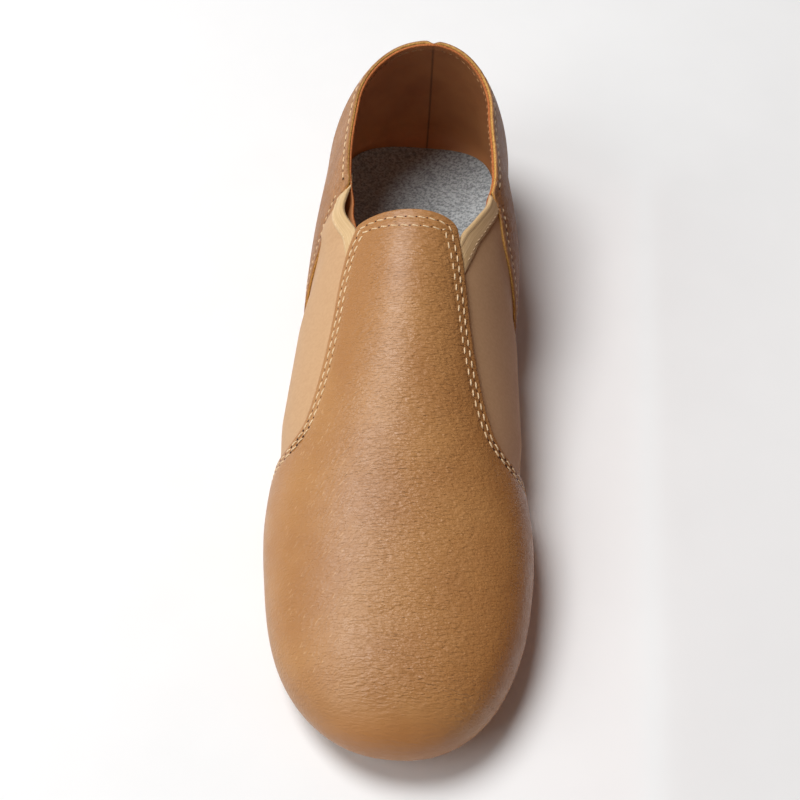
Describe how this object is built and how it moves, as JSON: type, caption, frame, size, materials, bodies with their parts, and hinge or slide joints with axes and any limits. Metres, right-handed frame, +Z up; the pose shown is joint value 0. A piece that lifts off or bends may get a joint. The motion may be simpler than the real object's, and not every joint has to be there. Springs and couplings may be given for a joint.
{
  "type": "jazz shoe",
  "caption": "Slip-on jazz shoe with a leather vamp and quarters, elastic side gores and a split sole.",
  "frame": {"origin": "on the floor, under the middle of the heel tread", "axes": "+Z up, -Y from heel to toe, +X towards the inner side of the foot"},
  "size_m": [0.0848, 0.2483, 0.0743],
  "materials": {
    "gore": "smooth elastic cloth, matt",
    "vamp_leather": "soft tan leather with a fine grain and a low sheen",
    "quarter_leather": "tan leather with a coarser grain, matt",
    "binding": "ribbed folded elastic, matt",
    "lining": "brown skin lining, matt",
    "felt": "grey felt",
    "thread": "cream sewing thread",
    "sole_rubber": "tan brown rubber, matt"
  },
  "bodies": {
    "root": {"upper": "gore", "vamp": "vamp_leather", "quarter_lateral": "quarter_leather", "quarter_medial": "quarter_leather", "binding_lateral": "binding", "binding_medial": "binding", "insole": "felt", "outsole_forefoot": "sole_rubber", "outsole_heel": "sole_rubber"}
  },
  "joints": []
}
